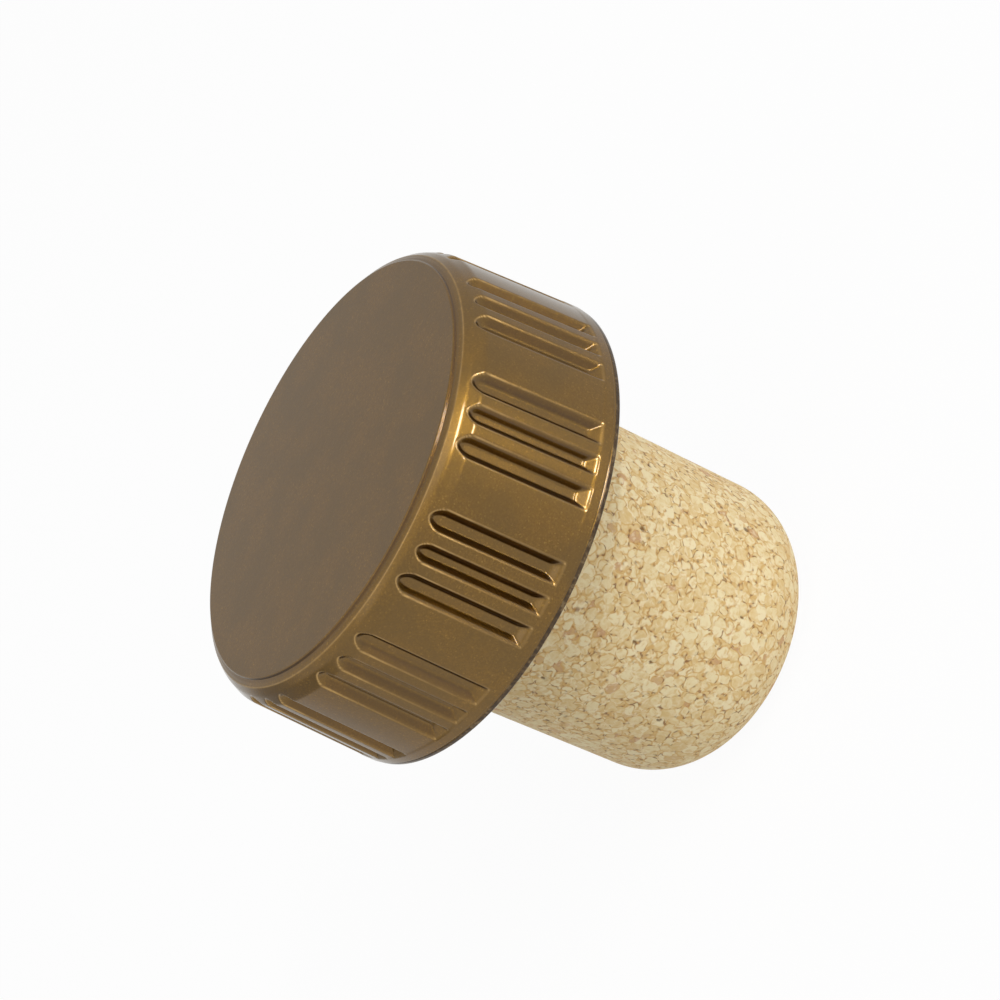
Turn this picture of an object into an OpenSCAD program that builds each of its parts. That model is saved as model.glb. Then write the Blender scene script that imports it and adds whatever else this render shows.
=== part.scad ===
// Bar-top bottle stopper: a fluted, metallic-lacquered cap glued on a cork shank.
// Millimetres. The stopper stands on the cork's free end, whose centre is the origin, and +Z runs up its axis.

/* [Cork shank] */
// Diameter of the cork
cork_d = 20; // [16:0.5:24]
// Length of cork that shows below the cap
cork_l = 21.3; // [14:0.5:30]
// Rounding of the cork's free end
cork_end_r = 5; // [1:0.1:7]
// Narrowing of the glued end, on the radius
glue_taper = 0.3; // [0.1:0.05:1]

/* [Cap] */
// Diameter of the cap at the foot of its skirt
cap_d = 31; // [29:0.5:40]
// Height of the cap, from its underside to the top disc
cap_h = 10.7; // [9:0.1:16]
// Depth of the socket that the cork is glued into
socket_depth = 2; // [1:0.1:4]
// Clearance round the cork in its socket, on the radius
glue_gap = 0.05; // [0.02:0.01:0.2]
// Draft of the skirt, in degrees
skirt_draft = 4; // [0:0.5:8]
// Softness of the corner between skirt and shoulder
skirt_corner_r = 0.5; // [0.2:0.05:0.8]

/* [Top] */
// Width of the sloped shoulder, along the radius
shoulder_w = 0.7; // [0.3:0.05:1.5]
// Height of the sloped shoulder
shoulder_h = 1.15; // [0.6:0.05:2]
// Softness of the shoulder's upper edge
shoulder_edge_r = 0.25; // [0.05:0.05:0.3]
// Width of the ledge round the top disc
ledge_w = 0.45; // [0.3:0.05:1.5]
// Rise of the ledge towards the top disc
ledge_rise = 0.15; // [0:0.05:0.3]
// Height of the top disc above its ledge
disc_step = 0.2; // [0.1:0.05:0.6]
// Softness of the top disc's edge
disc_edge_r = 0.08; // [0.02:0.01:0.09]

/* [Rim] */
// Height of the thin bead below the parting line
bead_h = 0.32; // [0.25:0.01:0.6]
// Depth of the parting line
parting_depth = 0.08; // [0.03:0.01:0.15]
// Height of the parting line
parting_h = 0.14; // [0.08:0.01:0.3]
// Setback of the bead from the skirt
bead_setback = 0.04; // [0:0.01:0.15]
// Softness of the bead's lower edge
bead_edge_r = 0.12; // [0.04:0.01:0.2]

/* [Flutes] */
// Number of flute groups round the skirt
groups = 11; // [6:1:12]
// Distance between the flutes of a group
flute_pitch = 2.1; // [1.8:0.05:2.4]
// Width of the two outer flutes of a group
flute_w = 1.38; // [1.1:0.02:1.6]
// Width of the middle flute of a group
mid_flute_w = 1.2; // [1:0.02:1.6]
// Depth of the flutes
flute_depth = 0.45; // [0.2:0.05:0.48]
// Slope of the flutes' side walls, in degrees from the radius
flute_wall = 45; // [20:1:46]
// Slope of the flutes' lower ends, in degrees from the radius
flute_foot_wall = 48; // [0:1:55]
// Height of the plain band below the flutes
band_h = 1.15; // [0.8:0.05:2.5]
// Drop from the top disc to the centre of the flutes' round ends
flute_top_drop = 1.75; // [1.7:0.05:4]

/* [Hidden] */

cork_colour = "#d9c598";
cap_colour = "#74603a";
round_fn = 96;
arc_steps = 4;

cork_r = cork_d / 2;
rim_r = cap_d / 2;
socket_r = cork_r + glue_gap;
underside_z = cork_l;

// Heights above the cap's underside
parting_z = bead_h + parting_h / 2;
skirt_foot_z = bead_h + parting_h;
disc_z = cap_h;
ledge_in_z = disc_z - disc_step;
ledge_out_z = ledge_in_z - ledge_rise;
skirt_top_z = ledge_out_z - shoulder_h;

// Radii
bead_r = rim_r - bead_setback;
skirt_top_r = rim_r - (skirt_top_z - skirt_foot_z) * tan(skirt_draft);
ledge_out_r = skirt_top_r - shoulder_w;
disc_r = ledge_out_r - ledge_w;

// Flutes: how far the cutter stands proud of the skirt, and angles round the axis
cutter_proud = 0.8;
flute_step = flute_pitch / rim_r * 180 / PI;
group_step = 360 / groups;
first_group = -90;

// Unit vector from p to q
function toward(p, q) = (q - p) / norm(q - p);

// Corner at b between the edges from a and to c, rounded to radius r as a fan of points
function soft_corner(a, b, c, r) =
    let (
        u = toward(b, a),
        v = toward(b, c),
        half = acos(u * v) / 2,
        middle = b + (u + v) / norm(u + v) * r / sin(half),
        from = b + u * r / tan(half) - middle,
        to = b + v * r / tan(half) - middle,
        sweep = 180 - 2 * half
    )
    [for (i = [0:arc_steps])
        let (t = i / arc_steps)
        middle + (from * sin((1 - t) * sweep) + to * sin(t * sweep)) / sin(sweep)];

// Turned section of the cap, from the socket out round the rim and up to the disc
bead_corner = [bead_r, 0];
bead_top = [bead_r, bead_h];
skirt_foot = [rim_r, skirt_foot_z];
skirt_top = [skirt_top_r, skirt_top_z];
ledge_out = [ledge_out_r, ledge_out_z];
ledge_in = [disc_r, ledge_in_z];
disc_corner = [disc_r, disc_z];
cap_section = concat(
    [[0, socket_depth], [socket_r, socket_depth], [socket_r, 0]],
    soft_corner([socket_r, 0], bead_corner, bead_top, bead_edge_r),
    [bead_top, [rim_r - parting_depth, parting_z], skirt_foot],
    soft_corner(skirt_foot, skirt_top, ledge_out, skirt_corner_r),
    soft_corner(skirt_top, ledge_out, ledge_in, shoulder_edge_r),
    [ledge_in],
    soft_corner(ledge_in, disc_corner, [0, disc_z], disc_edge_r),
    [[0, disc_z]]
);

// Cutter for one flute of width w. It lies on the skirt: x out of the face, y across, z up the slope.
module flute_cutter(w) {
    flank = tan(flute_wall);
    floor_half = w / 2 - flute_depth * flank;
    mouth_half = w / 2 + cutter_proud * flank;
    foot_z = (band_h - skirt_foot_z) / cos(skirt_draft);
    end_z = (cap_h - flute_top_drop - skirt_foot_z) / cos(skirt_draft);
    foot_rise = tan(flute_foot_wall);

    translate([rim_r, 0, skirt_foot_z])
    rotate([0, -skirt_draft, 0]) {
        // Straight channel with sloping sides and a sloping lower end
        intersection() {
            linear_extrude(end_z)
                polygon([
                    [-flute_depth, -floor_half],
                    [cutter_proud, -mouth_half],
                    [cutter_proud, mouth_half],
                    [-flute_depth, floor_half]
                ]);
            translate([0, mouth_half + 1, 0])
            rotate([90, 0, 0])
            linear_extrude(2 * mouth_half + 2)
                polygon([
                    [cutter_proud, foot_z - cutter_proud * foot_rise],
                    [cutter_proud, end_z],
                    [-flute_depth - 1, end_z],
                    [-flute_depth - 1, foot_z + (flute_depth + 1) * foot_rise]
                ]);
        }
        // Round upper end, half a cone
        translate([-flute_depth, 0, end_z])
        rotate([90, 0, 90])
        rotate_extrude(angle = 180, $fn = round_fn)
            polygon([
                [0, 0],
                [floor_half, 0],
                [mouth_half, flute_depth + cutter_proud],
                [0, flute_depth + cutter_proud]
            ]);
    }
}

module cork_shank() {
    color(cork_colour)
    rotate_extrude($fn = round_fn) {
        translate([0, cork_end_r]) square([cork_r, cork_l - cork_end_r]);
        square([cork_r - cork_end_r, cork_end_r]);
        intersection() {
            translate([cork_r - cork_end_r, cork_end_r]) circle(cork_end_r, $fn = round_fn);
            square([cork_r, cork_l]);
        }
        // Glued end in the socket
        polygon([
            [0, cork_l],
            [cork_r, cork_l],
            [cork_r - glue_taper, cork_l + socket_depth],
            [0, cork_l + socket_depth]
        ]);
    }
}

module fluted_cap() {
    color(cap_colour)
    translate([0, 0, underside_z])
    difference() {
        rotate_extrude($fn = 2 * round_fn) polygon(cap_section);
        for (g = [0:groups - 1])
            for (k = [-1:1])
                rotate([0, 0, first_group + g * group_step + k * flute_step])
                    flute_cutter(k == 0 ? mid_flute_w : flute_w);
    }
}

cork_shank();
fluted_cap();
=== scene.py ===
"""Looks of a bar-top bottle stopper: a fluted cap in bronze lacquer, glued on an agglomerated cork.

The stopper stands on the cork's free end. Lengths are in metres, and MM turns millimetres into them.
"""
import math

import bpy
import numpy as np
from mathutils import Matrix, Vector


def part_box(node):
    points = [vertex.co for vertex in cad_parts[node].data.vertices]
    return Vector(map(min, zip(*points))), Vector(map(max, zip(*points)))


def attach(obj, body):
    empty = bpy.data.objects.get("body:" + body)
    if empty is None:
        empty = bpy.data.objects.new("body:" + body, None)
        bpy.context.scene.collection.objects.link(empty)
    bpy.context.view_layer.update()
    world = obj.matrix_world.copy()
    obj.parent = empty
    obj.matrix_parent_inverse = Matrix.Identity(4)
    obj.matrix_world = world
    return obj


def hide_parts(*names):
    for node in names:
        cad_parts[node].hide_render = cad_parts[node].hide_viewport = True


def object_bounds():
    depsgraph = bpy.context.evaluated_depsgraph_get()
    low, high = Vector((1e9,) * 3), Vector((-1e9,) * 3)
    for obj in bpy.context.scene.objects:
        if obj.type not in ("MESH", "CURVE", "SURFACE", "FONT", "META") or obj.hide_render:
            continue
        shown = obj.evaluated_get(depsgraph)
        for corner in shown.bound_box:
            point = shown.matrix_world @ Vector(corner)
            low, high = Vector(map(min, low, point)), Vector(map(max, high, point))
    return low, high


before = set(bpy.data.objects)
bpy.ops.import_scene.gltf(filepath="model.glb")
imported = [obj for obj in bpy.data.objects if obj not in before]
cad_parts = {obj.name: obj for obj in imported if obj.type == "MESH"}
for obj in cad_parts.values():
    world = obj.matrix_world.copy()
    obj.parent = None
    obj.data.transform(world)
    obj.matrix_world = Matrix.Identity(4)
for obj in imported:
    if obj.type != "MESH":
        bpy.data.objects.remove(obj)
cad_low, cad_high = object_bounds()

MM = 0.001
CORK_NODE = "cork_shank"
CAP_NODE = "fluted_cap"
cork_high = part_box(CORK_NODE)[1]
cap_low, cap_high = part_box(CAP_NODE)

# Cork, with its glued end in the cap's socket
CORK_R = cork_high.x
CORK_TOP = cork_high.z
CORK_SHOWS = cap_low.z
CORK_END_R = 5.0 * MM
GLUE_TAPER = 0.3 * MM
CORK_COLUMNS = 400
CORK_ROW = 0.15 * MM
CORK_END_RINGS = 16
GLUED_END_RING = 0.6 * CORK_R

# Pores of the cork: how many, how deep and how large, how much smaller some are, the share that counts of a
# distance in x, y and z, which makes them longer up the axis, how far their middles keep from the cork's two
# ends, and how far the skin by the cap and in the middle of the end stays whole
PORES = 90
PORE_SEED = 11
PORE_DEPTH = 0.16 * MM
PORE_SIZE = (0.1 * MM, 0.22 * MM)
PORE_SHRINK = (0.6, 1)
PORE_SHORTENING = (1, 1, 0.7)
PORE_MARGIN = 0.6 * MM
WHOLE_BY_CAP = 0.2 * MM
WHOLE_AT_END = 0.2 * CORK_R

# Cap
RIM_R = cap_high.x
UNDERSIDE = cap_low.z
CAP_H = cap_high.z - cap_low.z
SOCKET_GAP = 0.05 * MM
SKIRT_DRAFT = math.radians(4)
SKIRT_CORNER_R = 0.9 * MM
SHOULDER_W = 0.7 * MM
SHOULDER_H = 1.15 * MM
SHOULDER_BEND_IN = 0.36 * MM
SHOULDER_BEND_DROP = 0.42 * MM
SHOULDER_BEND_R = 1.1 * MM
SHOULDER_EDGE_R = 0.16 * MM
LEDGE_W = 0.45 * MM
LEDGE_RISE = 0.15 * MM
DISC_STEP = 0.2 * MM
DISC_EDGE_R = 0.12 * MM
DISC_FOOT_R = 0.02 * MM
BEAD_H = 0.32 * MM
BEAD_SETBACK = 0.04 * MM
BEAD_EDGE_R = 0.12 * MM
BEAD_CHAMFER = 0.01 * MM
PARTING_DEPTH = 0.08 * MM
PARTING_H = 0.14 * MM
PARTING_FLOOR = (0.4 * PARTING_H, 0.6 * PARTING_H)

# Flutes
GROUPS = 11
FIRST_GROUP = -math.pi / 2
FLUTE_PITCH = 2.1 * MM
FLUTE_W = 1.38 * MM
MID_FLUTE_W = 1.2 * MM
FLUTE_DEPTH = 0.54 * MM
FLUTE_WALL = math.radians(36.5)
FLUTE_FOOT_WALL = math.radians(48)
BAND_H = 1.15 * MM
BAND_PROUD = 0.02 * MM
BAND_FADE = 0.25 * MM
FLUTE_TOP_DROP = 1.92 * MM
RUN_OUT = 0.52
LIP_SOFTNESS = 0.13 * MM
FLOOR_SOFTNESS = 0.11 * MM

# Heights above the cap's underside
SKIRT_FOOT = BEAD_H + PARTING_H
LEDGE_IN = CAP_H - DISC_STEP
LEDGE_OUT = LEDGE_IN - LEDGE_RISE
SKIRT_TOP = LEDGE_OUT - SHOULDER_H
FLUTE_END = CAP_H - FLUTE_TOP_DROP

# Rows of the cap's grid: numbers of rows, shares of a straight stretch or of the disc's radius, and their
# distances from the edges that they hold crisp
FINE_ROWS = 8
FLOOR_ROWS = 5
SHOULDER_ROWS = 8
ROWS_TO_LEDGE = (0.6, 0.82, 0.94)
ROWS_ON_LEDGE = (0.12, 0.35)
DISC_ROWS = (0.99, 0.97, 0.9, 0.6, 0.3)
LIP_ROWS_REACH = 2 * LIP_SOFTNESS
EDGE_ROW = 0.03 * MM
BELOW_CORNER = 0.25 * MM
DISC_FOOT_ROW = 0.12 * MM
SOCKET_EDGE_ROW = 0.1 * MM
UNDERSIDE_EDGE_ROW = 0.3 * MM

# Columns of the cap's grid: steps over half a flute's floor and over a wall, over a lip, and over the lands
FLANK_STEPS = 4
LIP_STEPS = 5
NARROW_LAND_STEPS = 4
WIDE_LAND_STEPS = 9
LIP_COLUMNS_REACH = 1.6 * LIP_SOFTNESS

# Painted highlights on the cap, which its lacquer reads, along the lips: how wide the lines are, how strong
# they are along a flute's sides and on the ledge, how far each end of a flute makes them full, and what its
# lower slope takes off
LIP_HIGHLIGHT_LINE = 0.045 * MM
LEDGE_HIGHLIGHT_LINE = 0.05 * MM
SIDE_HIGHLIGHT = 0.5
LEDGE_HIGHLIGHT = 0.35
UPPER_END_SPREAD = 0.9 * MM
LOWER_END_SPREAD = 0.3 * MM
SLOPE_HIGHLIGHT_LOSS = 0.75
SLOPE_HIGHLIGHT_FADE = 0.1 * MM

# Painted shade in the recesses: how strong it is on the walls, then where it fades: in depth below the lips
# and above the floor, on the lower slope, and in height at the upper end. The painted shade on the wall
# below the disc fades in height at its two ends.
WALL_SHADE = 0.6
WALL_TOP_FADE = (0.02 * MM, 0.1 * MM)
WALL_FLOOR_FADE = (1.02 * FLUTE_DEPTH, 0.8 * FLUTE_DEPTH)
SLOPE_FADE = (-0.03 * MM, 0.06 * MM)
SCOOP_FADE = (FLUTE_END - 0.2 * MM, FLUTE_END + 0.5 * MM)
DISC_FOOT_FADE = (LEDGE_IN - 0.02 * MM, LEDGE_IN + 0.03 * MM)
DISC_TOP_FADE = (CAP_H - 0.01 * MM, CAP_H - 0.06 * MM)


def fade(value, start, end):
    """0 at start and 1 at end, in between t * t * (3 - 2 t)."""
    t = np.clip((value - start) / (end - start), 0, 1)
    return t * t * (3 - 2 * t)


def smooth_min(a, b, softness):
    """The lower of a and b. Where they differ by less than softness, (softness - |a - b|)^2 / (4 softness)
    is taken off, which rounds the corner between them."""
    near = np.maximum(softness - np.abs(a - b), 0)
    return np.minimum(a, b) - near * near / (4 * softness)


def soft_corner(before, corner, after, radius, steps=5):
    """Arc of that radius at a corner, tangent to the sides towards the points before and after it.

    With u and v the unit vectors along the sides and h half the angle between them, the centre lies
    radius / sin h from the corner along u + v, and the arc turns by 180 degrees - 2 h.
    """
    before, corner, after = np.array(before), np.array(corner), np.array(after)
    u = (before - corner) / np.linalg.norm(before - corner)
    v = (after - corner) / np.linalg.norm(after - corner)
    half = math.acos(float(u @ v)) / 2
    middle = corner + (u + v) / np.linalg.norm(u + v) * radius / math.sin(half)
    start = corner + u * radius / math.tan(half) - middle
    end = corner + v * radius / math.tan(half) - middle
    turn = math.pi - 2 * half
    t = np.linspace(0, 1, steps + 1)[:, None]
    return middle + (start * np.sin((1 - t) * turn) + end * np.sin(t * turn)) / math.sin(turn)


def closed_mesh(name, rings, first_pole, last_pole):
    """Closed surface over a grid: ring i, column j is joined to ring i + 1 and, round the axis, to column
    j + 1. The first and last rings are closed to a pole each. Rings run so that faces point outwards."""
    count, columns = rings.shape[:2]
    index = np.arange(count * columns).reshape(count, columns)
    beside = np.roll(index, -1, axis=1)
    quads = np.stack([index[:-1], beside[:-1], beside[1:], index[1:]], axis=-1).reshape(-1, 4)
    first, last = count * columns, count * columns + 1
    start = np.stack([np.full(columns, first), beside[0], index[0]], axis=-1)
    end = np.stack([np.full(columns, last), index[-1], beside[-1]], axis=-1)
    points = np.concatenate([rings.reshape(-1, 3), [first_pole], [last_pole]])
    mesh = bpy.data.meshes.new(name)
    mesh.from_pydata(points, [], quads.tolist() + start.tolist() + end.tolist())
    mesh.polygons.foreach_set("use_smooth", np.ones(len(mesh.polygons), dtype=bool))
    mesh.update()
    piece = bpy.data.objects.new(name, mesh)
    bpy.context.scene.collection.objects.link(piece)
    return piece


def point_values(piece, name, values):
    """Stores one number for each point of a piece, for its material to read. The two poles get 0."""
    stored = piece.data.attributes.new(name, "FLOAT", "POINT")
    stored.data.foreach_set("value", np.concatenate([values.ravel(), [0, 0]]))


def skirt_radius(height):
    """Radius of the skirt's drafted face, without its flutes: it narrows by tan(draft) as it rises, and by
    BAND_PROUD over BAND_FADE, half of it on each side of the plain band's top."""
    above_band = fade((height - BAND_H) / BAND_FADE, -0.5, 0.5)
    return RIM_R - (height - SKIRT_FOOT) * math.tan(SKIRT_DRAFT) - BAND_PROUD * above_band


def cap_profile():
    """Half section of the cap as (radius, height above its underside), from the socket's top out and round
    to the disc. Rows lie closer at rounded edges and where the flutes begin and end."""
    skirt_top_r = skirt_radius(SKIRT_TOP)
    ledge_out_r = skirt_top_r - SHOULDER_W
    disc_r = ledge_out_r - LEDGE_W
    socket_r = CORK_R + SOCKET_GAP
    bead_r = RIM_R - BEAD_SETBACK
    parting_r = RIM_R - PARTING_DEPTH
    lip = LIP_ROWS_REACH
    floor_start = BAND_H + FLUTE_DEPTH * math.tan(FLUTE_FOOT_WALL)

    skirt_z = np.concatenate([
        [SKIRT_FOOT, SKIRT_FOOT + EDGE_ROW, BAND_H - 2 * lip],
        np.linspace(BAND_H - lip, BAND_H + lip, FINE_ROWS),
        np.linspace(BAND_H + lip, floor_start + lip, FINE_ROWS)[1:],
        np.linspace(floor_start + lip, FLUTE_END - lip, FLOOR_ROWS)[1:-1],
        np.linspace(FLUTE_END - lip, SKIRT_TOP - BELOW_CORNER, FINE_ROWS),
    ])
    skirt_top = [skirt_top_r, SKIRT_TOP]
    on_skirt = [skirt_radius(SKIRT_TOP - MM), SKIRT_TOP - MM]
    shoulder_bend = [ledge_out_r + SHOULDER_BEND_IN, LEDGE_OUT - SHOULDER_BEND_DROP]
    ledge_out = [ledge_out_r, LEDGE_OUT]
    ledge_in = [disc_r, LEDGE_IN]
    corner = soft_corner(on_skirt, skirt_top, shoulder_bend, SKIRT_CORNER_R, steps=6)
    bend = soft_corner(skirt_top, shoulder_bend, ledge_out, SHOULDER_BEND_R, steps=4)
    edge = soft_corner(shoulder_bend, ledge_out, ledge_in, SHOULDER_EDGE_R, steps=6)
    shoulder_t = np.linspace(0, 1, SHOULDER_ROWS + 2)[1:-1, None]
    to_ledge = np.array(ROWS_TO_LEDGE)[:, None]
    on_ledge = np.array(ROWS_ON_LEDGE)[:, None]
    disc_in = np.array(DISC_ROWS) * disc_r
    return np.concatenate([
        [[socket_r, CORK_TOP - UNDERSIDE], [socket_r, 0]],
        [[socket_r + SOCKET_EDGE_ROW, 0], [bead_r - UNDERSIDE_EDGE_ROW, 0]],
        soft_corner([socket_r, 0], [bead_r, 0], [bead_r, BEAD_H], BEAD_EDGE_R),
        [[bead_r, BEAD_H - EDGE_ROW], [bead_r - BEAD_CHAMFER, BEAD_H]],
        [[parting_r, BEAD_H + PARTING_FLOOR[0]], [parting_r, BEAD_H + PARTING_FLOOR[1]]],
        np.stack([skirt_radius(skirt_z), skirt_z], axis=-1),
        corner,
        corner[-1] + (bend[0] - corner[-1]) * shoulder_t,
        bend,
        bend[-1] + (edge[0] - bend[-1]) * to_ledge,
        edge,
        edge[-1] + (ledge_in - edge[-1]) * on_ledge,
        [[disc_r + DISC_FOOT_ROW, LEDGE_IN], [disc_r + DISC_FOOT_R, LEDGE_IN]],
        [[disc_r, LEDGE_IN + DISC_FOOT_R]],
        soft_corner(ledge_in, [disc_r, CAP_H], [0, CAP_H], DISC_EDGE_R),
        np.stack([disc_in, np.full_like(disc_in, CAP_H)], axis=-1),
    ])


def flute_centres():
    """Angle and width of every flute: each group has three, spaced FLUTE_PITCH apart along the rim."""
    group, place = np.meshgrid(np.arange(GROUPS), [-1, 0, 1], indexing="ij")
    angle = FIRST_GROUP + group * 2 * math.pi / GROUPS + place * FLUTE_PITCH / RIM_R
    width = np.where(place == 0, MID_FLUTE_W, FLUTE_W)
    return angle.ravel(), width.ravel()


def cap_angles():
    """Angles of the cap's columns: they crowd at each flute's lips, and the lands between get a few."""
    angle, width = flute_centres()
    half = width[:, None] / 2
    floor = half - FLUTE_DEPTH * math.tan(FLUTE_WALL)
    lip_start = half - LIP_COLUMNS_REACH
    flank_t = np.linspace(0, 1, FLANK_STEPS + 1)[None, :]
    lip_t = np.linspace(0, 1, LIP_STEPS + 1)[None, :]
    side = np.concatenate([
        floor * flank_t,
        (floor + (lip_start - floor) * flank_t)[:, 1:],
        (lip_start + 2 * LIP_COLUMNS_REACH * lip_t)[:, 1:],
    ], axis=1)
    across = np.concatenate([-side[:, :0:-1], side], axis=1)
    flutes = angle[:, None] + across / RIM_R
    columns = [flutes.ravel()]
    from_land = flutes[:, -1]
    to_land = np.roll(flutes[:, 0], -1)
    to_land[-1] += 2 * math.pi
    wide = to_land - from_land > FLUTE_PITCH / RIM_R
    for lands, steps in ((~wide, NARROW_LAND_STEPS), (wide, WIDE_LAND_STEPS)):
        land_t = np.linspace(0, 1, steps + 1)[None, 1:-1]
        columns.append((from_land[lands, None] + (to_land - from_land)[lands, None] * land_t).ravel())
    return np.sort(np.concatenate(columns))


def flute_sides(angles, heights):
    """Depth of the flutes' walls and of their lower slope below the skirt's face, in (height, angle) grids.
    Both are negative outside a flute.

    The walls rise at FLUTE_WALL. Distance from a flute's middle line is taken across it, and past its end
    point it is the length of (across, RUN_OUT times along), so that the upper end runs out in a long scoop.
    """
    centres, widths = flute_centres()
    turn = (angles[:, None] - centres[None, :] + math.pi) % (2 * math.pi) - math.pi
    nearest = np.abs(turn).argmin(axis=1)
    radius = skirt_radius(heights)[:, None]
    across = turn[np.arange(len(angles)), nearest][None, :] * radius
    past_end = np.maximum(heights - FLUTE_END, 0)[:, None]
    inside = widths[nearest][None, :] / 2 - np.hypot(across, RUN_OUT * past_end)
    walls = inside / math.tan(FLUTE_WALL)
    slope = np.broadcast_to((heights[:, None] - BAND_H) / math.tan(FLUTE_FOOT_WALL), walls.shape)
    return walls, slope


def make_cap():
    """The cap: at each angle and height, the lesser of the turned section's radius and the flute's, with
    rounded lips between them. A flute is as deep as the least of its floor, walls and slope."""
    profile = cap_profile()
    angles = cap_angles()
    section_r, heights = profile[:, :1], profile[:, 1]
    walls, slope = flute_sides(angles, heights)
    sides = smooth_min(walls, slope, FLOOR_SOFTNESS)
    sunk = smooth_min(sides, np.full_like(sides, FLUTE_DEPTH), FLOOR_SOFTNESS)
    fluted_r = skirt_radius(heights)[:, None] - sunk
    outside = (heights > SKIRT_FOOT)[:, None]
    radius = np.where(outside, smooth_min(section_r, fluted_r, LIP_SOFTNESS), section_r)
    z = np.broadcast_to(UNDERSIDE + heights[:, None], radius.shape)
    rings = np.stack([radius * np.cos(angles), radius * np.sin(angles), z], axis=-1)
    piece = closed_mesh("cap", rings, (0, 0, CORK_TOP), (0, 0, UNDERSIDE + CAP_H))
    depth = section_r - fluted_r
    # Painted highlight on the lips and ledge edge, painted shade on the walls and below the disc
    point_values(piece, "lip", painted_edge_highlight(section_r, heights, depth, walls - slope) * outside)
    point_values(piece, "painted_shade", painted_hollow_shade(heights, depth, sides, walls - slope) * outside)
    return piece


def painted_edge_highlight(section_r, heights, depth, on_slope):
    """How strong the painted highlight is at each point of the cap: exp(-(distance / line)^2) from the
    line where a flute's depth is 0, and from the ledge's outer edge. On the flutes' lips it is full at both
    ends, at the side strength between them, and weaker where on_slope is above 0,
    which is on the lower slope."""
    ledge_out_r = skirt_radius(SKIRT_TOP) - SHOULDER_W
    from_ledge = np.hypot(section_r - ledge_out_r, (heights - LEDGE_OUT)[:, None])
    ledge = np.exp(-(from_ledge / LEDGE_HIGHLIGHT_LINE) ** 2)
    lips = np.exp(-(depth / LIP_HIGHLIGHT_LINE) ** 2) * (heights < LEDGE_OUT)[:, None]
    ends = np.exp(-((heights - FLUTE_END) / UPPER_END_SPREAD) ** 2)
    ends += np.exp(-((heights - BAND_H) / LOWER_END_SPREAD) ** 2)
    lips *= SIDE_HIGHLIGHT + (1 - SIDE_HIGHLIGHT) * ends[:, None]
    lips *= 1 - SLOPE_HIGHLIGHT_LOSS * fade(on_slope, 0, SLOPE_HIGHLIGHT_FADE)
    return np.maximum(lips, LEDGE_HIGHLIGHT * ledge)


def painted_hollow_shade(heights, depth, sides, on_slope):
    """How strong the painted shade is at each point of the cap: on the flutes' walls, between lip and floor
    and away from the lower slope and the scooped upper end, and on the little wall below the disc."""
    wall = fade(depth, *WALL_TOP_FADE) * fade(sides, *WALL_FLOOR_FADE)
    slope = fade(on_slope, *SLOPE_FADE)
    scoop = fade(heights, *SCOOP_FADE)[:, None]
    below_disc = fade(heights, *DISC_FOOT_FADE) * fade(heights, *DISC_TOP_FADE)
    return np.maximum(WALL_SHADE * wall * (1 - slope) * (1 - scoop), below_disc[:, None])


def cork_profile():
    """Half section of the cork as (radius, height), from the middle of its free end up to its glued end."""
    flat_r = CORK_R - CORK_END_R
    flat = np.linspace(0, flat_r, CORK_END_RINGS + 2)[1:-1]
    turn = np.linspace(0, math.pi / 2, round(CORK_END_R * math.pi / 2 / CORK_ROW))
    body = np.linspace(CORK_END_R, CORK_SHOWS, round((CORK_SHOWS - CORK_END_R) / CORK_ROW))[1:]
    return np.concatenate([
        np.stack([flat, np.zeros_like(flat)], axis=-1),
        np.stack([flat_r + CORK_END_R * np.sin(turn), CORK_END_R * (1 - np.cos(turn))], axis=-1),
        np.stack([np.full_like(body, CORK_R), body], axis=-1),
        [[CORK_R - GLUE_TAPER, CORK_TOP], [GLUED_END_RING, CORK_TOP]],
    ])


def pore_shares(points):
    """At each point of the skin, the sum over the pores of exp(-(distance / size)^2), at most 1. The pores
    lie at places drawn at random on the turned section."""
    rng = np.random.default_rng(PORE_SEED)
    angle = rng.uniform(0, 2 * math.pi, PORES)
    height = rng.uniform(PORE_MARGIN, CORK_SHOWS - PORE_MARGIN, PORES)
    size = rng.uniform(*PORE_SIZE, PORES) * rng.uniform(*PORE_SHRINK, PORES)
    into_end = np.maximum(CORK_END_R - height, 0)
    radius = CORK_R - CORK_END_R + np.sqrt(CORK_END_R ** 2 - into_end ** 2)
    places = np.stack([radius * np.cos(angle), radius * np.sin(angle), height], axis=-1)
    share = np.zeros(len(points))
    for place, pore in zip(places, size):
        apart = np.linalg.norm((points - place) * np.array(PORE_SHORTENING), axis=1)
        share += np.exp(-(apart / pore) ** 2)
    return np.minimum(share, 1)


def make_cork():
    """The cork: its turned section, with pores sunk into the skin, along the section's normal."""
    profile = cork_profile()
    angles = np.arange(CORK_COLUMNS) * 2 * math.pi / CORK_COLUMNS
    radius, heights = profile[:, :1], profile[:, 1:]
    all_round = np.ones_like(angles)[None, :]
    rings = np.stack([radius * np.cos(angles), radius * np.sin(angles), heights * all_round], axis=-1)
    along = np.gradient(profile, axis=0)
    along /= np.linalg.norm(along, axis=1)[:, None]
    out_r, out_z = along[:, 1:], -along[:, :1]
    normals = np.stack([out_r * np.cos(angles), out_r * np.sin(angles), out_z * all_round], axis=-1)
    pores = pore_shares(rings.reshape(-1, 3)).reshape(rings.shape[:2])
    pores *= (heights < CORK_SHOWS - WHOLE_BY_CAP) * (radius > WHOLE_AT_END)
    sunk = rings - normals * pores[..., None] * PORE_DEPTH
    piece = closed_mesh("cork", sunk, (0, 0, 0), (0, 0, CORK_TOP))
    point_values(piece, "pore", pores)
    return piece


def linear(hex_colour):
    """Linear RGBA of an sRGB hex colour."""
    channels = np.array([int(hex_colour[i:i + 2], 16) for i in (1, 3, 5)]) / 255
    turned = np.where(channels <= 0.04045, channels / 12.92, ((channels + 0.055) / 1.055) ** 2.4)
    return (*turned.tolist(), 1)


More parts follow.
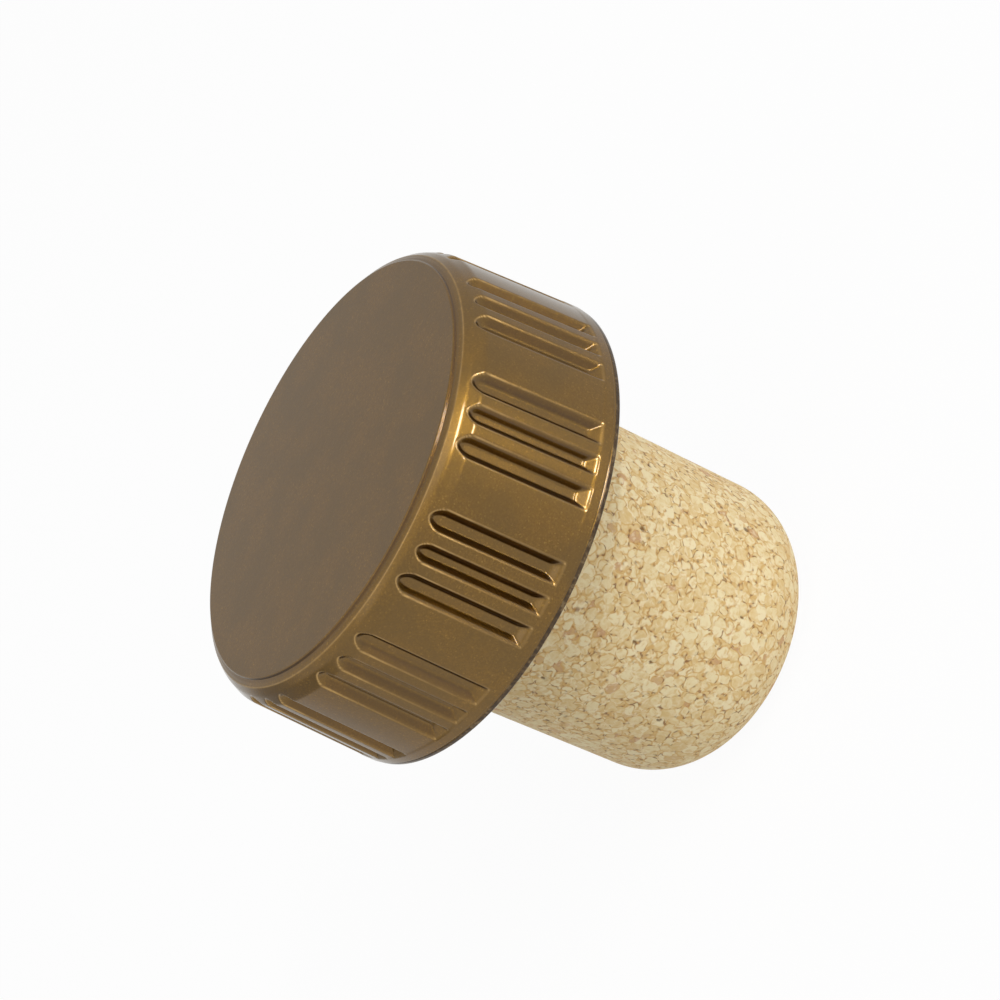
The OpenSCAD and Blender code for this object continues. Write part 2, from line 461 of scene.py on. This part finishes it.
def node(tree, kind, inputs=(), stops=(), **settings):
    """Adds a node with its settings. Each input is a value or an output socket to link from, and goes by its
    socket's name, or by its number where names repeat. Stops are a colour ramp's (position, hex colour)."""
    made = tree.nodes.new(kind)
    for name, value in settings.items():
        setattr(made, name, value)
    for name, value in dict(inputs).items():
        if isinstance(value, bpy.types.NodeSocket):
            tree.links.new(value, made.inputs[name])
        else:
            made.inputs[name].default_value = value
    for _ in stops[2:]:
        made.color_ramp.elements.new(0.5)
    for place, (position, colour) in enumerate(stops):
        made.color_ramp.elements[place].position = position
        made.color_ramp.elements[place].color = linear(colour)
    return made


def new_material(name):
    """An empty node material and its tree."""
    material = bpy.data.materials.new(name)
    material.use_nodes = True
    material.node_tree.nodes.clear()
    return material, material.node_tree


def lay_over(tree, body, layers):
    """The body colour with each layer laid over the last. A layer says where it lies, the value that thins
    it, where that value starts and ends, how much covers at its start and at its end, and the colour."""
    for within, value, start, end, at_start, at_end, colour in layers:
        amount = node(tree, "ShaderNodeMapRange", {
            "Value": value, "From Min": start, "From Max": end, "To Min": at_start, "To Max": at_end,
        }, interpolation_type="SMOOTHSTEP").outputs["Result"]
        amount = node(tree, "ShaderNodeMath", {0: amount, 1: within}, operation="MULTIPLY").outputs[0]
        body = node(tree, "ShaderNodeMix", {0: amount, 6: body, 7: colour}, data_type="RGBA").outputs[2]
    return body


# Cork: spacing of two layers of round granules and of the grains that fill in between, how far a granule
# reaches in spacings and how much that varies, and the width of the rims and of a granule's own edge in rims
GRANULE = 1.0 * MM
GRANULE_REACH = 0.48
SMALL_GRANULE = 0.78 * MM
SMALL_GRANULE_REACH = 0.5
REACH_SPREAD = 0.16
GRAIN = 0.7 * MM
RIM_LINE = 0.085 * MM
EDGE_IN_RIMS = 0.3

# Scale and reach of the waver in the granules' outlines, how far aside the small granules' layer is taken,
# and the scales of the breaks in the rims, of the fibres in the granules and of the dark specks in the rims
WAVER = 0.5 * MM
WAVER_REACH = 0.42 * MM
SMALL_LAYER_ASIDE = (7 * MM, 3 * MM, 5 * MM)
RIM_BREAK = 0.55 * MM
FIBRE = 0.3 * MM
SPECK = 0.26 * MM
CORK_RELIEF = 0.02 * MM
STRAW_TINTS = [(0.0, "#efdfb6"), (0.3, "#ebd9ab"), (0.65, "#e6cf9c"), (0.97, "#e0c48d"), (0.99, "#cb9f74")]
RIM_TINTS = [(0.46, "#d5ab66"), (0.61, "#be8b47"), (0.73, "#7f4b1c")]


def granules(tree, place, spacing, size):
    """One layer of rounded granules, as the tint, the cover and the rim of each: a granule covers what lies
    nearer to its middle than size, in spacings, give or take REACH_SPREAD / 2 by granule."""
    cells = node(tree, "ShaderNodeTexVoronoi", {"Vector": place, "Scale": 1 / spacing}, feature="F1").outputs
    chance = node(tree, "ShaderNodeSeparateColor", {"Color": cells["Color"]}).outputs
    tint = node(tree, "ShaderNodeValToRGB", {"Fac": chance[0]}, STRAW_TINTS).outputs["Color"]
    reach = {0: chance[1], 1: REACH_SPREAD, 2: size - REACH_SPREAD / 2}
    reach = node(tree, "ShaderNodeMath", reach, operation="MULTIPLY_ADD").outputs[0]
    past = {0: cells["Distance"], 1: reach}
    past = node(tree, "ShaderNodeMath", past, operation="SUBTRACT").outputs[0]
    away = node(tree, "ShaderNodeMath", {0: past}, operation="ABSOLUTE").outputs[0]
    line = RIM_LINE / spacing
    cover = node(tree, "ShaderNodeMapRange", {
        "Value": past, "From Min": -EDGE_IN_RIMS * line, "From Max": EDGE_IN_RIMS * line,
        "To Min": 1.0, "To Max": 0.0,
    }, interpolation_type="SMOOTHSTEP").outputs["Result"]
    rim = node(tree, "ShaderNodeMapRange", {
        "Value": away, "From Min": 0.0, "From Max": line, "To Min": 1.0, "To Max": 0.0,
    }, interpolation_type="SMOOTHSTEP").outputs["Result"]
    return tint, cover, rim


def agglomerated_cork():
    """Agglomerated cork: granules of bark pressed with a binder, then ground and polished.
    Gives pale straw granules with thin broken tan rims, and dark specks where granules fell short."""
    material, tree = new_material("agglomerated_cork_ground")
    place = node(tree, "ShaderNodeTexCoord").outputs["Object"]
    waver = node(tree, "ShaderNodeTexNoise", {"Vector": place, "Scale": 1 / WAVER, "Detail": 0.0})
    shift = {0: waver.outputs["Color"], 1: (0.5, 0.5, 0.5)}
    shift = node(tree, "ShaderNodeVectorMath", shift, operation="SUBTRACT").outputs[0]
    moved = {0: shift, 1: (WAVER_REACH,) * 3, 2: place}
    moved = node(tree, "ShaderNodeVectorMath", moved, operation="MULTIPLY_ADD").outputs[0]
    aside = node(tree, "ShaderNodeVectorMath", {0: moved, 1: SMALL_LAYER_ASIDE}).outputs[0]
    breaks, fibres, specks = (
        node(tree, "ShaderNodeTexNoise", {
            "Vector": at, "Scale": 1 / size, "Detail": detail,
        }).outputs["Fac"]
        for at, size, detail in ((place, RIM_BREAK, 2.0), (moved, FIBRE, 3.0), (place, SPECK, 0.0))
    )

    grains = {"Vector": moved, "Scale": 1 / GRAIN}
    grain = node(tree, "ShaderNodeTexVoronoi", grains, feature="F1").outputs["Color"]
    seam = node(tree, "ShaderNodeTexVoronoi", grains, feature="DISTANCE_TO_EDGE").outputs["Distance"]
    grain_tone = node(tree, "ShaderNodeSeparateColor", {"Color": grain}).outputs[1]
    body = node(tree, "ShaderNodeValToRGB", {"Fac": grain_tone}, STRAW_TINTS).outputs["Color"]
    rim = node(tree, "ShaderNodeMapRange", {
        "Value": seam, "From Min": 0.0, "From Max": RIM_LINE / GRAIN, "To Min": 1.0, "To Max": 0.0,
    }, interpolation_type="SMOOTHSTEP").outputs["Result"]
    for spacing, size, at in ((SMALL_GRANULE, SMALL_GRANULE_REACH, aside), (GRANULE, GRANULE_REACH, moved)):
        tint, cover, edge = granules(tree, at, spacing, size)
        body = node(tree, "ShaderNodeMix", {0: cover, 6: body, 7: tint}, data_type="RGBA").outputs[2]
        bare = {"Value": cover, "To Min": 1.0, "To Max": 0.0}
        bare = node(tree, "ShaderNodeMapRange", bare, interpolation_type="SMOOTHSTEP").outputs["Result"]
        under = node(tree, "ShaderNodeMath", {0: rim, 1: bare}, operation="MULTIPLY").outputs[0]
        rim = node(tree, "ShaderNodeMath", {0: under, 1: edge}, operation="MAXIMUM").outputs[0]

    rim_tint = node(tree, "ShaderNodeValToRGB", {"Fac": specks}, RIM_TINTS).outputs["Color"]
    pore = node(tree, "ShaderNodeAttribute", attribute_name="pore").outputs["Fac"]
    body = lay_over(tree, body, [
        (1.0, fibres, 0.48, 0.68, 0.0, 0.6, linear("#dab877")),
        (1.0, fibres, 0.5, 0.3, 0.0, 0.5, linear("#f0e2ba")),
        (rim, breaks, 0.48, 0.36, 0.0, 0.5, linear("#f6e7c2")),
        (rim, breaks, 0.34, 0.54, 0.0, 0.88, rim_tint),
        (1.0, pore, 0.25, 0.75, 0.0, 0.8, linear("#67401c")),
    ])

    raised = {"Value": rim, "To Min": 1.0, "To Max": 0.0}
    raised = node(tree, "ShaderNodeMapRange", raised, interpolation_type="SMOOTHSTEP").outputs["Result"]
    height = {0: fibres, 1: 0.8, 2: raised}
    height = node(tree, "ShaderNodeMath", height, operation="MULTIPLY_ADD").outputs[0]
    relief = node(tree, "ShaderNodeBump", {"Height": height, "Strength": 0.32, "Distance": CORK_RELIEF})
    skin = node(tree, "ShaderNodeBsdfPrincipled", {
        "Base Color": body,
        "Roughness": 0.6,
        "Specular IOR Level": 0.25,
        "Normal": relief.outputs["Normal"],
    })
    node(tree, "ShaderNodeOutputMaterial", {"Surface": skin.outputs[0]})
    return material


# Lacquer: real flakes are about 0.03 mm across, too fine to show, so they are drawn three times as coarse.
# Then the scales of the clouding, of the orange peel and of the scuffs on the bead, how far flakes and peel
# stand up, and the heights above the cork's end between which the bead's dark scuffs come in, going down.
FLAKE = 0.09 * MM
CLOUD = 3.5 * MM
PEEL = 0.6 * MM
SCUFF = 0.3 * MM
LACQUER_RELIEF = 0.012 * MM
BEAD_FADE = (UNDERSIDE + BEAD_H + 0.04 * MM, UNDERSIDE + BEAD_H - 0.02 * MM)
FLAKE_TINTS = [(0.0, "#694c14"), (0.6, "#705117"), (0.95, "#77571a"), (1.0, "#876524")]
SCUFF_TINTS = [(0.4, "#38270f"), (0.56, "#4e3a1d"), (0.7, "#6f5a3a")]


def bronze_lacquer():
    """Bronze metallic lacquer: metal flakes in clear binder, sprayed on a moulded plastic cap.
    Gives a deep golden bronze with a soft sheen and a fine grain under a clear gloss.
    Painted shade darkens the flutes' walls, and a painted highlight makes the lips pale gold.
    The thin bead below the parting line is scuffed and dark."""
    material, tree = new_material("bronze_metallic_lacquer")
    place = node(tree, "ShaderNodeTexCoord").outputs["Object"]
    flake = node(tree, "ShaderNodeTexVoronoi", {"Vector": place, "Scale": 1 / FLAKE}, feature="F1")
    flake_tone = node(tree, "ShaderNodeSeparateColor", {"Color": flake.outputs["Color"]}).outputs[0]
    cloud, peel, scuffs = (
        node(tree, "ShaderNodeTexNoise", {
            "Vector": place, "Scale": 1 / size, "Detail": detail,
        }).outputs["Fac"]
        for size, detail in ((CLOUD, 3.0), (PEEL, 2.0), (SCUFF, 2.0))
    )

    body = node(tree, "ShaderNodeValToRGB", {"Fac": flake_tone}, FLAKE_TINTS).outputs["Color"]
    painted_shade = node(tree, "ShaderNodeAttribute", attribute_name="painted_shade").outputs["Fac"]
    lip = node(tree, "ShaderNodeAttribute", attribute_name="lip").outputs["Fac"]
    height_up = node(tree, "ShaderNodeSeparateXYZ", {"Vector": place}).outputs["Z"]
    scuffed = node(tree, "ShaderNodeValToRGB", {"Fac": scuffs}, SCUFF_TINTS).outputs["Color"]
    body = lay_over(tree, body, [
        (1.0, cloud, 0.35, 0.65, 0.0, 0.5, linear("#60481b")),
        # Painted shade: darker brown on the flutes' walls and on the little wall below the disc
        (painted_shade, 1.0, 0.0, 1.0, 0.0, 0.7, linear("#4c310f")),
        # Painted highlight: paler gold along the lips and the ledge's edge, patchy with the peel
        (lip, peel, 0.35, 0.65, 0.6, 0.9, linear("#cfa766")),
        (1.0, height_up, *BEAD_FADE, 0.0, 1.0, scuffed),
    ])

    height = {0: flake_tone, 1: 0.25, 2: peel}
    height = node(tree, "ShaderNodeMath", height, operation="MULTIPLY_ADD").outputs[0]
    relief = node(tree, "ShaderNodeBump", {"Height": height, "Strength": 0.35, "Distance": LACQUER_RELIEF})
    skin = node(tree, "ShaderNodeBsdfPrincipled", {
        "Base Color": body,
        "Metallic": 1.0,
        "Roughness": 0.31,
        "Specular Tint": (0.46, 0.44, 0.39, 1),
        "Coat Weight": 0.7,
        "Coat Roughness": 0.03,
        "Normal": relief.outputs["Normal"],
    })
    node(tree, "ShaderNodeOutputMaterial", {"Surface": skin.outputs[0]})
    return material


# Studio: the floor's half width, how much of the white that the eye sees is the paper's own, the rest being
# lit and taking the shadow, and how bright the white surroundings are as a light
FLOOR_HALF = 1.5
PAPER_GLOW = 0.95
WORLD_LEVEL = 0.36
WHITE = (1, 1, 1, 1)


def seen_directly(tree):
    """1 where the camera, a reflection or a transmitted ray looks, and 0 for light that falls on things."""
    ray = node(tree, "ShaderNodeLightPath").outputs
    seen = {0: ray["Is Camera Ray"], 1: ray["Is Glossy Ray"]}
    seen = node(tree, "ShaderNodeMath", seen, operation="MAXIMUM").outputs[0]
    through = {0: seen, 1: ray["Is Transmission Ray"]}
    return node(tree, "ShaderNodeMath", through, operation="MAXIMUM").outputs[0]


def white_paper():
    """White studio paper, coated and matt: even white to the eye, with a soft shadow on it."""
    material, tree = new_material("white_studio_paper")
    paper = node(tree, "ShaderNodeBsdfDiffuse", {"Color": linear("#fbfbfb")})
    glow = node(tree, "ShaderNodeEmission", {"Color": WHITE, "Strength": 1.0})
    share = {0: seen_directly(tree), 1: PAPER_GLOW}
    share = node(tree, "ShaderNodeMath", share, operation="MULTIPLY").outputs[0]
    mixed = node(tree, "ShaderNodeMixShader", {0: share, 1: paper.outputs[0], 2: glow.outputs[0]})
    node(tree, "ShaderNodeOutputMaterial", {"Surface": mixed.outputs[0]})
    return material


def make_floor():
    """Pale floor: one square, level with the cork's end. Reflections pass through it, so that it hides no
    card from the lacquer, and past the cards they meet the white surroundings."""
    mesh = bpy.data.meshes.new("floor")
    corners = np.array([(-1, -1, 0), (1, -1, 0), (1, 1, 0), (-1, 1, 0)]) * FLOOR_HALF
    mesh.from_pydata(corners, [], [(0, 1, 2, 3)])
    floor = bpy.data.objects.new("floor", mesh)
    bpy.context.scene.collection.objects.link(floor)
    floor.data.materials.append(white_paper())
    floor.visible_glossy = False


def make_world():
    """Even white surroundings: white where they are seen, and dimmer as a light."""
    world = bpy.data.worlds.new("studio")
    bpy.context.scene.world = world
    world.use_nodes = True
    tree = world.node_tree
    tree.nodes.clear()
    level = {"Value": seen_directly(tree), "To Min": WORLD_LEVEL, "To Max": 1.0}
    level = node(tree, "ShaderNodeMapRange", level, interpolation_type="SMOOTHSTEP").outputs["Result"]
    light = node(tree, "ShaderNodeBackground", {"Color": WHITE, "Strength": level})
    node(tree, "ShaderNodeOutputWorld", {"Surface": light.outputs[0]})


# Lamps: name, azimuth, elevation, distance, width, height, and power in watts.
# Azimuth 0 is +X and 90 is +Y. Each points at the stopper's middle.
LAMPS = [
    ("key_strip", -38, 38, 0.60, 0.30, 0.02, 0.8),
    ("low_strip", -44, 5, 0.60, 0.24, 0.015, 0.7),
    ("top_softbox", -70, 62, 0.80, 1.20, 0.35, 2.1),
]


def direction(azimuth, elevation):
    """Unit vector towards an azimuth and elevation, in degrees."""
    a, e = math.radians(azimuth), math.radians(elevation)
    return Vector((math.cos(a) * math.cos(e), math.sin(a) * math.cos(e), math.sin(e)))


def make_lamps():
    """Softboxes round the stopper: a narrow strip above it and one low down, both beside the camera, and a
    wide box overhead. Reflections don't meet them, because the cards are what the lacquer mirrors."""
    middle = (cad_low + cad_high) / 2
    for name, azimuth, elevation, distance, width, height, power in LAMPS:
        lamp = bpy.data.lights.new(name, "AREA")
        lamp.shape = "RECTANGLE"
        lamp.size = width
        lamp.size_y = height
        lamp.energy = power
        holder = bpy.data.objects.new(name, lamp)
        holder.location = middle + direction(azimuth, elevation) * distance
        holder.rotation_euler = direction(azimuth, elevation).to_track_quat("Z", "Y").to_euler()
        holder.visible_glossy = False
        bpy.context.scene.collection.objects.link(holder)


# Cards that only reflections meet: name, azimuth, elevation, half width and half height, all in degrees as
# the cap sees them, and the level in the middle. White surroundings have the level 1.
CARDS = [
    ("grey_card", 165, 2, 40, 28, 0.55),
    ("upper_strip", -36, 36, 13, 7.5, 26.0),
    ("lower_strip", -41, 0, 14, 6.5, 24.0),
    ("low_card", -37, -21, 26, 12, 1.1),
    ("top_card", -92, 67, 48, 15, 2.0),
    ("back_card", 97, 30, 30, 20, 0.83),
]
CARD_DISTANCE = 0.45
CARD_PLATEAU = 0.15


def make_card(name, azimuth, elevation, half_width, half_height, level):
    """A studio card facing the cap, which only the lacquer mirrors, in the walls and lips of the flutes. Its
    light falls from level to that of the surroundings as the product of two soft steps, along and across:
    each is 1 up to CARD_PLATEAU from the middle, in card widths, and 0 at the card's edge."""
    middle = Vector((0, 0, UNDERSIDE + CAP_H / 2)) + direction(azimuth, elevation) * CARD_DISTANCE
    along = direction(azimuth + 90, 0) * CARD_DISTANCE * math.tan(math.radians(half_width))
    up = direction(azimuth, elevation + 90) * CARD_DISTANCE * math.tan(math.radians(half_height))
    corners = [middle - along - up, middle + along - up, middle + along + up, middle - along + up]
    mesh = bpy.data.meshes.new(name)
    mesh.from_pydata([tuple(corner) for corner in corners], [], [(0, 1, 2, 3)])
    mesh.uv_layers.new(name="card").data.foreach_set("uv", [0, 0, 1, 0, 1, 1, 0, 1])
    material, tree = new_material(name)
    place = node(tree, "ShaderNodeUVMap", uv_map="card").outputs["UV"]
    sides = node(tree, "ShaderNodeSeparateXYZ", {"Vector": place}).outputs
    shares = []
    for side in (sides["X"], sides["Y"]):
        apart = node(tree, "ShaderNodeMath", {0: side, 1: 0.5}, operation="SUBTRACT").outputs[0]
        apart = node(tree, "ShaderNodeMath", {0: apart}, operation="ABSOLUTE").outputs[0]
        shares.append(node(tree, "ShaderNodeMapRange", {
            "Value": apart, "From Min": CARD_PLATEAU, "From Max": 0.5, "To Min": 1.0, "To Max": 0.0,
        }, interpolation_type="SMOOTHSTEP").outputs["Result"])
    share = node(tree, "ShaderNodeMath", {0: shares[0], 1: shares[1]}, operation="MULTIPLY").outputs[0]
    strength = {"Value": share, "To Min": 1.0, "To Max": level}
    strength = node(tree, "ShaderNodeMapRange", strength, interpolation_type="SMOOTHSTEP").outputs["Result"]
    card = node(tree, "ShaderNodeEmission", {"Color": WHITE, "Strength": strength})
    node(tree, "ShaderNodeOutputMaterial", {"Surface": card.outputs[0]})
    mesh.materials.append(material)
    piece = bpy.data.objects.new(name, mesh)
    bpy.context.scene.collection.objects.link(piece)
    piece.visible_camera = False
    piece.visible_diffuse = False
    piece.visible_shadow = False


# Camera: it looks down at the stopper from beside the -Y axis, turned so that the stopper's axis lies across
VIEW_AZIMUTH = -82.76
VIEW_ELEVATION = 26.63
VIEW_ROLL = 65.36
VIEW_DISTANCE = 147.07 * MM
VIEW_POINT = Vector((2.57, -0.12, 20.43)) * MM
LENS = 84.35
CLIP_START = 10 * MM


def make_camera():
    """Camera at VIEW_DISTANCE from VIEW_POINT, rolled clockwise about its line of sight by VIEW_ROLL."""
    camera = bpy.data.cameras.new("camera")
    camera.lens = LENS
    camera.clip_start = CLIP_START
    back = direction(VIEW_AZIMUTH, VIEW_ELEVATION)
    holder = bpy.data.objects.new("camera", camera)
    upright = back.to_track_quat("Z", "Y").to_matrix()
    turned = upright @ Matrix.Rotation(-math.radians(VIEW_ROLL), 3, "Z")
    holder.matrix_world = Matrix.Translation(VIEW_POINT + back * VIEW_DISTANCE) @ turned.to_4x4()
    bpy.context.scene.collection.objects.link(holder)
    bpy.context.scene.camera = holder


def dress(piece, cad_node, material):
    """Gives a piece its material, and puts it in the place of a solid of the model."""
    piece.data.materials.append(material)
    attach(piece, "root")
    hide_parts(cad_node)


dress(make_cork(), CORK_NODE, agglomerated_cork())
dress(make_cap(), CAP_NODE, bronze_lacquer())
make_floor()
for card in CARDS:
    make_card(*card)
make_world()
make_lamps()
make_camera()
bpy.context.scene.view_settings.view_transform = "Standard"
